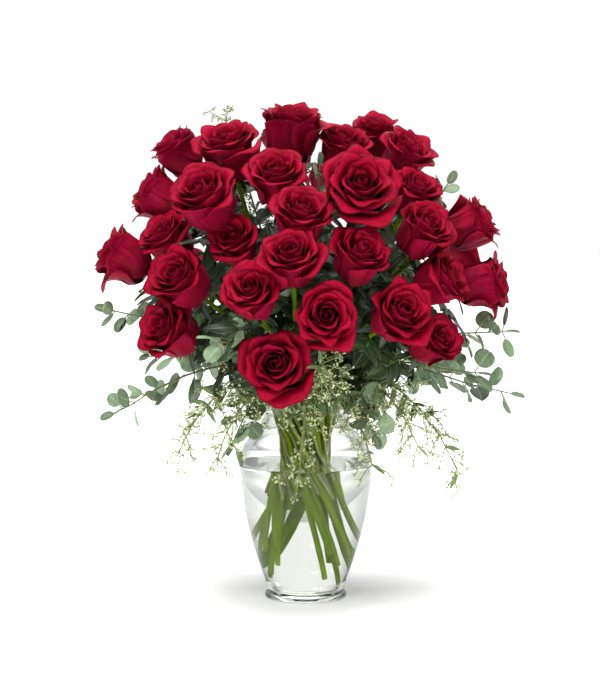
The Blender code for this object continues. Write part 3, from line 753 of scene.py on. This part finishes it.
def group(name, inputs, outputs):
    """An empty node group with float inputs and outputs, and its two end nodes."""
    tree = bpy.data.node_groups.new(name, "ShaderNodeTree")
    for label, default in inputs:
        socket = tree.interface.new_socket(label, in_out="INPUT", socket_type="NodeSocketFloat")
        socket.default_value = default
    for label in outputs:
        tree.interface.new_socket(label, in_out="OUTPUT", socket_type="NodeSocketFloat")
    return tree, tree.nodes.new("NodeGroupInput"), tree.nodes.new("NodeGroupOutput")


def math_node(tree, operation, first, second=None):
    node = tree.nodes.new("ShaderNodeMath")
    node.operation = operation
    for socket, value in zip(node.inputs, (first, second)):
        if isinstance(value, (int, float)):
            socket.default_value = value
        elif value is not None:
            tree.links.new(value, socket)
    return node.outputs[0]


def tint_parts(tree):
    """The three shares that a mesh's tint holds: along, across and the piece's own chance."""
    attribute = tree.nodes.new("ShaderNodeAttribute")
    attribute.attribute_name = "tint"
    parts = tree.nodes.new("ShaderNodeSeparateColor")
    tree.links.new(attribute.outputs["Color"], parts.inputs["Color"])
    return parts.outputs


def veins_group():
    """Fine lines that run along a petal or a leaf and fan out from its root."""
    tree, start, end = group("Veins", [("Lines", 30.0), ("Flow", 3.0)], ["Value"])
    along, across, chance = tint_parts(tree)
    place = tree.nodes.new("ShaderNodeCombineXYZ")
    tree.links.new(math_node(tree, "MULTIPLY", across, start.outputs["Lines"]), place.inputs["X"])
    tree.links.new(math_node(tree, "MULTIPLY", along, start.outputs["Flow"]), place.inputs["Y"])
    tree.links.new(math_node(tree, "MULTIPLY", chance, 37.0), place.inputs["Z"])
    noise = tree.nodes.new("ShaderNodeTexNoise")
    noise.inputs["Scale"].default_value = 1.0
    noise.inputs["Detail"].default_value = 3.0
    tree.links.new(place.outputs[0], noise.inputs["Vector"])
    tree.links.new(noise.outputs["Fac"], end.inputs["Value"])
    return tree


def mottle_group():
    """Soft patches, with their size in patches to the metre."""
    tree, start, end = group("Mottle", [("Scale", 100.0), ("Detail", 3.0)], ["Value"])
    where = tree.nodes.new("ShaderNodeTexCoord")
    noise = tree.nodes.new("ShaderNodeTexNoise")
    tree.links.new(where.outputs["Object"], noise.inputs["Vector"])
    tree.links.new(start.outputs["Scale"], noise.inputs["Scale"])
    tree.links.new(start.outputs["Detail"], noise.inputs["Detail"])
    tree.links.new(noise.outputs["Fac"], end.inputs["Value"])
    return tree


def placed(tree, name, make, **values):
    """A shared group in a material, with its own values."""
    node = tree.nodes.new("ShaderNodeGroup")
    node.node_tree = bpy.data.node_groups.get(name) or make()
    for label, value in values.items():
        node.inputs[label].default_value = value
    return node.outputs["Value"]


def ramp(tree, value, *stops):
    """A colour ramp of (place, colour) stops."""
    node = tree.nodes.new("ShaderNodeValToRGB")
    elements = node.color_ramp.elements
    while len(elements) < len(stops):
        elements.new(0.5)
    for element, (place, colour) in zip(elements, stops):
        element.position = place
        element.color = (*colour[:3], 1.0)
    tree.links.new(value, node.inputs["Fac"])
    return node.outputs["Color"]


def multiplied(tree, first, *others):
    """A colour multiplied by each of the others in turn."""
    for other in others:
        first = blended(tree, "MULTIPLY", 1.0, first, other)
    return first


def blended(tree, how, share, first, second):
    """One colour laid on another."""
    node = tree.nodes.new("ShaderNodeMix")
    node.data_type = "RGBA"
    node.blend_type = how
    for label, value in (("Factor", share), ("A", first), ("B", second)):
        socket = next(s for s in node.inputs if s.name == label and s.enabled)
        if isinstance(value, bpy.types.NodeSocket):
            tree.links.new(value, socket)
        elif label == "Factor":
            socket.default_value = value
        else:
            socket.default_value = (*value[:3], 1.0)
    return next(s for s in node.outputs if s.enabled)


def bump(tree, shader, height, strength, distance):
    node = tree.nodes.new("ShaderNodeBump")
    node.inputs["Strength"].default_value = strength
    node.inputs["Distance"].default_value = distance
    tree.links.new(height, node.inputs["Height"])
    tree.links.new(node.outputs["Normal"], shader.inputs["Normal"])


def principled(name, roughness, **values):
    material = bpy.data.materials.new(name)
    material.use_nodes = True
    tree = material.node_tree
    shader = tree.nodes["Principled BSDF"]
    shader.inputs["Roughness"].default_value = roughness
    for label, value in values.items():
        shader.inputs[label.replace("_", " ")].default_value = value
    return material, tree, shader


def grey(value):
    return (value, value, value)


def scaled(colour, share):
    return tuple(c * share for c in colour[:3])


def petal_material(name, colour, painted_base_shade, roughness, sheen):
    """Velvety petal: painted shade at its base and on the petals near the bloom's heart, a painted highlight
    just inside its rim, fine veins and a thin dark rim.
    """
    material, tree, shader = principled(
        name, roughness, Sheen_Weight=sheen, Sheen_Roughness=0.4,
        Sheen_Tint=(1.0, 0.06, 0.22, 1.0), Specular_IOR_Level=0.06,
    )
    along, _, age = tint_parts(tree)
    # Painted shade darkens the petal towards its base, and a painted highlight lightens a band just inside
    # its thin dark rim.
    body = ramp(tree, along, (0.0, painted_base_shade), (0.5, scaled(colour, 0.7)), (0.82, colour),
                (0.97, scaled(colour, 1.1)), (1.0, scaled(colour, 0.45)))
    veins = placed(tree, "Veins", veins_group, Lines=26.0, Flow=2.0)
    streaks = ramp(tree, veins, (0.3, grey(0.75)), (0.7, grey(1.12)))
    patches = placed(tree, "Mottle", mottle_group, Scale=60.0, Detail=3.0)
    spots = ramp(tree, patches, (0.3, grey(0.78)), (0.7, grey(1.12)))
    # Painted shade: the petals nearest the bloom's heart are darker.
    heart = ramp(tree, age, (0.0, grey(0.55)), (0.45, grey(1.0)))
    tree.links.new(multiplied(tree, body, streaks, spots, heart), shader.inputs["Base Color"])
    bump(tree, shader, veins, 0.25, 0.6 * MM)
    return material


def leaf_material(name, colour, pale, roughness):
    """A leaf with a paler midrib and side veins, and its own shade."""
    material, tree, shader = principled(name, roughness, Specular_IOR_Level=0.4)
    _, across, chance = tint_parts(tree)
    veins = placed(tree, "Veins", veins_group, Lines=14.0, Flow=5.0)
    patches = placed(tree, "Mottle", mottle_group, Scale=160.0, Detail=4.0)
    middle = math_node(tree, "ABSOLUTE", math_node(tree, "SUBTRACT", across, 0.5))
    rib = ramp(tree, middle, (0.0, grey(1)), (0.045, grey(0)))
    shade = ramp(tree, chance, (0.0, scaled(colour, 0.6)), (1.0, scaled(colour, 1.5)))
    spots = ramp(tree, patches, (0.3, grey(0.75)), (0.7, grey(1.15)))
    streaks = ramp(tree, veins, (0.35, grey(0.88)), (0.65, grey(1.08)))
    mixed = blended(tree, "MIX", rib, multiplied(tree, shade, spots, streaks), pale)
    tree.links.new(mixed, shader.inputs["Base Color"])
    bump(tree, shader, veins, 0.3, 0.5 * MM)
    return material


def stem_material(name, colour, warm, roughness):
    """A stem that shades from green to a warmer colour in soft patches, with fine mottling."""
    material, tree, shader = principled(name, roughness, Specular_IOR_Level=0.04)
    chance = tint_parts(tree)[2]
    patches = placed(tree, "Mottle", mottle_group, Scale=60.0, Detail=4.0)
    fine = placed(tree, "Mottle", mottle_group, Scale=700.0, Detail=2.0)
    base = ramp(tree, patches, (0.35, scaled(colour, 0.75)), (0.6, colour), (0.8, warm))
    grain = ramp(tree, fine, (0.3, grey(0.8)), (0.7, grey(1.15)))
    own = ramp(tree, chance, (0.0, (0.8, 0.85, 0.8)), (1.0, (1.15, 1.1, 1.0)))
    tree.links.new(multiplied(tree, base, grain, own), shader.inputs["Base Color"])
    bump(tree, shader, fine, 0.2, 0.3 * MM)
    return material


def seed_material(name, colour):
    material, tree, shader = principled(name, 0.55)
    along, _, chance = tint_parts(tree)
    tips = ramp(tree, along, (0.0, scaled(colour, 0.7)), (0.8, colour), (1.0, (0.5, 0.42, 0.2)))
    own = ramp(tree, chance, (0.0, (0.75, 0.8, 0.7)), (1.0, (1.2, 1.15, 1.2)))
    tree.links.new(multiplied(tree, tips, own), shader.inputs["Base Color"])
    return material


def clear_material(name, ior, tint, edge, shine, edge_shine):
    """A clear solid. Its tint turns darker where it is seen edge on, a painted shade along its outline, and
    the strength of what it mirrors changes there too.
    """
    material, tree, shader = principled(name, 0.0, Transmission_Weight=1.0, IOR=ior)
    facing = tree.nodes.new("ShaderNodeLayerWeight")
    facing.inputs["Blend"].default_value = 0.5
    # Painted shade: the tint turns to the edge colour where the surface is seen edge on, and what it mirrors
    # changes there.
    for label, middle, outside in (("Base Color", tint, edge), ("Specular Tint", shine, edge_shine)):
        shade = ramp(tree, facing.outputs["Facing"], (0.3, middle), (0.75, outside))
        tree.links.new(shade, shader.inputs[label])
    path = tree.nodes.new("ShaderNodeLightPath")
    clear = tree.nodes.new("ShaderNodeBsdfTransparent")
    clear.inputs["Color"].default_value = (*(0.5 + 0.5 * t for t in tint), 1.0)
    mix = tree.nodes.new("ShaderNodeMixShader")
    lit = math_node(tree, "MAXIMUM", path.outputs["Is Shadow Ray"], path.outputs["Is Diffuse Ray"])
    output = tree.nodes["Material Output"]
    tree.links.new(lit, mix.inputs["Fac"])
    tree.links.new(shader.outputs["BSDF"], mix.inputs[1])
    tree.links.new(clear.outputs["BSDF"], mix.inputs[2])
    tree.links.new(mix.outputs["Shader"], output.inputs["Surface"])
    return material


# --- stage --------------------------------------------------------------------------------------


CAMERA_AT = (-7 * MM, -2.6, 0.5)
CAMERA_AIM = (-7 * MM, 0.0, 0.300)
CAMERA_LENS = 111.4
LAMPS_AIM = (0, 0, 0.33)
LAMPS = (  # name, place, width in metres, watts
    ("key_softbox", (-0.6, -1.7, 2.5), 1.0, 60),
    ("fill_softbox", (1.9, -1.8, 0.9), 1.4, 14),
    ("top_softbox", (0.0, 0.1, 2.5), 1.4, 40),
    ("back_softbox", (0.4, 2.2, 1.6), 1.6, 16),
)
FLOOR_RADIUS = 12.0
FLOOR_RINGS = 24
FLOOR_SIDES = 96
GLOW_LOST_IN_GLASS = 0.85  # how much of the floor's glow is missing where it is seen through glass
WORLD_LIGHT = (0.34, 0.34, 0.35)


def make_stage():
    shape = Shape()
    rings = np.linspace(0.001, 1, FLOOR_RINGS) ** 2 * FLOOR_RADIUS
    turns = np.arange(FLOOR_SIDES) * math.tau / FLOOR_SIDES
    points = np.stack([np.outer(np.cos(turns), rings), np.outer(np.sin(turns), rings),
                       np.zeros((FLOOR_SIDES, FLOOR_RINGS))], axis=2)
    shape.grid(points, 0, np.zeros(points.shape), closed=True)
    material, tree, shader = principled("pale floor", 0.7, Specular_IOR_Level=0.15)
    patches = placed(tree, "Mottle", mottle_group, Scale=8.0, Detail=2.0)
    tree.links.new(ramp(tree, patches, (0.3, grey(0.93)), (0.7, grey(0.95))),
                   shader.inputs["Base Color"])
    where = tree.nodes.new("ShaderNodeTexCoord")
    length = tree.nodes.new("ShaderNodeVectorMath")
    length.operation = "LENGTH"
    tree.links.new(where.outputs["Object"], length.inputs[0])
    glow = ramp(tree, math_node(tree, "MULTIPLY", length.outputs["Value"], 0.5),
                (0.04, grey(0)), (0.08, grey(0.22)), (0.14, grey(0.55)), (0.5, grey(1)))
    tree.links.new(glow, shader.inputs["Emission Color"])
    # What is seen through the glass glows less, so that the tint of the glass shows against it.
    path = tree.nodes.new("ShaderNodeLightPath")
    through = math_node(tree, "MULTIPLY", path.outputs["Is Transmission Ray"], GLOW_LOST_IN_GLASS)
    tree.links.new(math_node(tree, "SUBTRACT", 1.0, through), shader.inputs["Emission Strength"])
    floor = shape.finished("studio_floor", [material])

    world = bpy.data.worlds.new("studio")
    bpy.context.scene.world = world
    world.use_nodes = True
    tree = world.node_tree
    white = tree.nodes["Background"]
    white.inputs["Color"].default_value = (1.0, 1.0, 1.0, 1.0)
    soft = tree.nodes.new("ShaderNodeBackground")
    soft.inputs["Strength"].default_value = 1.0
    where = tree.nodes.new("ShaderNodeTexCoord")
    parts = tree.nodes.new("ShaderNodeSeparateXYZ")
    tree.links.new(where.outputs["Generated"], parts.inputs[0])
    side = math_node(tree, "ABSOLUTE", parts.outputs["X"])
    path = tree.nodes.new("ShaderNodeLightPath")
    seen = ramp(tree, side, (0.0, grey(1.0)), (0.45, grey(0.95)),
                (0.7, grey(0.72)), (0.95, (0.45, 0.45, 0.46)))
    lit = blended(tree, "MIX", path.outputs["Is Diffuse Ray"], seen, WORLD_LIGHT)
    tree.links.new(lit, soft.inputs["Color"])
    mix = tree.nodes.new("ShaderNodeMixShader")
    tree.links.new(path.outputs["Is Camera Ray"], mix.inputs["Fac"])
    tree.links.new(soft.outputs[0], mix.inputs[1])
    tree.links.new(white.outputs[0], mix.inputs[2])
    tree.links.new(mix.outputs[0], tree.nodes["World Output"].inputs["Surface"])

    for name, place, size, watts in LAMPS:
        light = bpy.data.lights.new(name, "AREA")
        light.size = size
        light.energy = watts
        lamp = bpy.data.objects.new(name, light)
        lamp.location = place
        lamp.rotation_euler = (Vector(LAMPS_AIM) - Vector(place)).to_track_quat("-Z", "Y").to_euler()
        bpy.context.scene.collection.objects.link(lamp)

    camera = bpy.data.objects.new("camera", bpy.data.cameras.new("camera"))
    camera.location = CAMERA_AT
    aim = Vector(CAMERA_AIM) - Vector(CAMERA_AT)
    camera.rotation_euler = aim.to_track_quat("-Z", "Y").to_euler()
    camera.data.lens = CAMERA_LENS
    camera.data.sensor_width = 36
    camera.data.clip_end = 60
    bpy.context.scene.collection.objects.link(camera)
    bpy.context.scene.camera = camera
    bpy.context.scene.view_settings.view_transform = "Standard"


# --- add-on -------------------------------------------------------------------------------------


class BouquetSettings(bpy.types.PropertyGroup):
    petals: IntProperty(name="Petals", description="Petals in each bloom", default=24, min=12, max=60)
    petal_colour: FloatVectorProperty(
        name="Petal", description="The petals' inner side", subtype="COLOR", size=3, min=0, max=1,
        default=(0.30, 0.001, 0.020))
    petal_back_colour: FloatVectorProperty(
        name="Petal back", description="The petals' outer side", subtype="COLOR", size=3, min=0, max=1,
        default=(0.29, 0.003, 0.026))
    rose_leaf_colour: FloatVectorProperty(
        name="Rose leaf", description="The roses' leaves and sepals", subtype="COLOR", size=3, min=0, max=1,
        default=(0.022, 0.046, 0.015))
    stem_colour: FloatVectorProperty(
        name="Rose stem", description="The roses' stems", subtype="COLOR", size=3, min=0, max=1,
        default=(0.17, 0.27, 0.010))
    silver_colour: FloatVectorProperty(
        name="Silver dollar", description="The round leaves", subtype="COLOR", size=3, min=0, max=1,
        default=(0.21, 0.30, 0.17))
    seeded_colour: FloatVectorProperty(
        name="Seeded leaf", description="The narrow leaves", subtype="COLOR", size=3, min=0, max=1,
        default=(0.15, 0.23, 0.08))
    seed_colour: FloatVectorProperty(
        name="Seeds", description="The seed capsules", subtype="COLOR", size=3, min=0, max=1,
        default=(0.58, 0.68, 0.38))
    rose_leaf_length: FloatProperty(
        name="Rose leaflet", description="Length of a leaflet", subtype="DISTANCE", unit="LENGTH",
        default=37 * MM, min=5 * MM, max=80 * MM)
    round_leaf_size: FloatProperty(
        name="Round leaf", description="Width of a round leaf", subtype="DISTANCE", unit="LENGTH",
        default=25 * MM, min=5 * MM, max=60 * MM)
    narrow_leaf_length: FloatProperty(
        name="Narrow leaf", description="Length of a narrow leaf", subtype="DISTANCE", unit="LENGTH",
        default=38 * MM, min=5 * MM, max=90 * MM)
    seed_size: FloatProperty(
        name="Seed", description="Length of a seed capsule", subtype="DISTANCE", unit="LENGTH",
        default=2.3 * MM, min=1 * MM, max=8 * MM)


class BOUQUET_OT_stage(bpy.types.Operator):
    """Makes the floor, the soft light and the camera"""

    bl_idname = "bouquet.stage"
    bl_label = "Stage"

    def execute(self, context):
        make_stage()
        return {"FINISHED"}


class BOUQUET_OT_vase(bpy.types.Operator):
    """Makes the glass vase"""

    bl_idname = "bouquet.vase"
    bl_label = "Vase"

    def execute(self, context):
        # The edge colour is painted shade along the glass's outline.
        make_vase(clear_material("vase glass", ior=1.5, tint=(0.965, 0.975, 0.955), edge=(0.5, 0.52, 0.5),
                                 shine=grey(0.25), edge_shine=grey(0.12)))
        return {"FINISHED"}


class BOUQUET_OT_water(bpy.types.Operator):
    """Makes the water in the vase"""

    bl_idname = "bouquet.water"
    bl_label = "Water"

    def execute(self, context):
        # The edge colour is a faint painted shade along the water's outline.
        make_water(clear_material("clear water", ior=1.333, tint=(0.95, 0.96, 0.935), edge=(0.93, 0.94, 0.92),
                                  shine=grey(0.3), edge_shine=grey(0.3)))
        return {"FINISHED"}


class BOUQUET_OT_roses(bpy.types.Operator):
    """Makes every rose's petals, stem, sepals and leaves"""

    bl_idname = "bouquet.roses"
    bl_label = "Roses"

    def execute(self, context):
        s = context.scene.bouquet
        face = petal_material("petal face", s.petal_colour, (0.08, 0.0, 0.003), 0.6, 0.03)
        back = petal_material("petal back", s.petal_back_colour, (0.10, 0.004, 0.008), 0.5, 0.16)
        stem = stem_material("rose stem", s.stem_colour, (0.26, 0.19, 0.03), 0.55)
        leaf = leaf_material("rose leaf", s.rose_leaf_colour, (0.10, 0.17, 0.06), 0.42)
        for k, bloom in enumerate(BLOOMS):
            make_bloom(bloom, s.petals, [back, face], k)
            make_rose_green(bloom, s.rose_leaf_length, [stem, leaf], k)
        return {"FINISHED"}


class BOUQUET_OT_silver_dollar(bpy.types.Operator):
    """Makes the sprigs of round-leaved eucalyptus"""

    bl_idname = "bouquet.silver_dollar"
    bl_label = "Silver dollar eucalyptus"

    def execute(self, context):
        s = context.scene.bouquet
        stem = stem_material("eucalyptus stem", (0.20, 0.22, 0.10), (0.25, 0.16, 0.09), 0.5)
        leaf = leaf_material("round leaf", s.silver_colour, (0.34, 0.42, 0.28), 0.55)
        for k, node in enumerate(nodes_named("silver_dollar")):
            make_silver_dollar(node, s.round_leaf_size, [stem, leaf], k)
        return {"FINISHED"}


class BOUQUET_OT_seeded(bpy.types.Operator):
    """Makes the sprigs of seeded eucalyptus"""

    bl_idname = "bouquet.seeded"
    bl_label = "Seeded eucalyptus"

    def execute(self, context):
        s = context.scene.bouquet
        stem = stem_material("seeded stem", (0.30, 0.34, 0.14), (0.34, 0.26, 0.12), 0.5)
        leaf = leaf_material("narrow leaf", s.seeded_colour, (0.36, 0.42, 0.2), 0.5)
        seeds = seed_material("seed capsule", s.seed_colour)
        for k, node in enumerate(nodes_named("seeded")):
            make_seeded(node, s.narrow_leaf_length, s.seed_size, [stem, leaf, seeds], k)
        return {"FINISHED"}


OPERATORS = (
    BOUQUET_OT_stage,
    BOUQUET_OT_vase,
    BOUQUET_OT_water,
    BOUQUET_OT_roses,
    BOUQUET_OT_silver_dollar,
    BOUQUET_OT_seeded,
)


class BOUQUET_PT_panel(bpy.types.Panel):
    """Lists the bouquet's sizes, colours and steps"""

    bl_idname = "BOUQUET_PT_panel"
    bl_label = "Roses in a vase"
    bl_space_type = "VIEW_3D"
    bl_region_type = "UI"
    bl_category = "Bouquet"

    def draw(self, context):
        settings = context.scene.bouquet
        for name in BouquetSettings.__annotations__:
            self.layout.prop(settings, name)
        for operator in OPERATORS:
            self.layout.operator(operator.bl_idname)


CLASSES = (BouquetSettings, *OPERATORS, BOUQUET_PT_panel)


def register():
    for cls in CLASSES:
        bpy.utils.register_class(cls)
    bpy.types.Scene.bouquet = PointerProperty(type=BouquetSettings)


def unregister():
    del bpy.types.Scene.bouquet
    for cls in reversed(CLASSES):
        bpy.utils.unregister_class(cls)


def main():
    register()
    bpy.ops.bouquet.stage()
    bpy.ops.bouquet.vase()
    bpy.ops.bouquet.water()
    bpy.ops.bouquet.roses()
    bpy.ops.bouquet.silver_dollar()
    bpy.ops.bouquet.seeded()


if __name__ == "__main__":
    main()
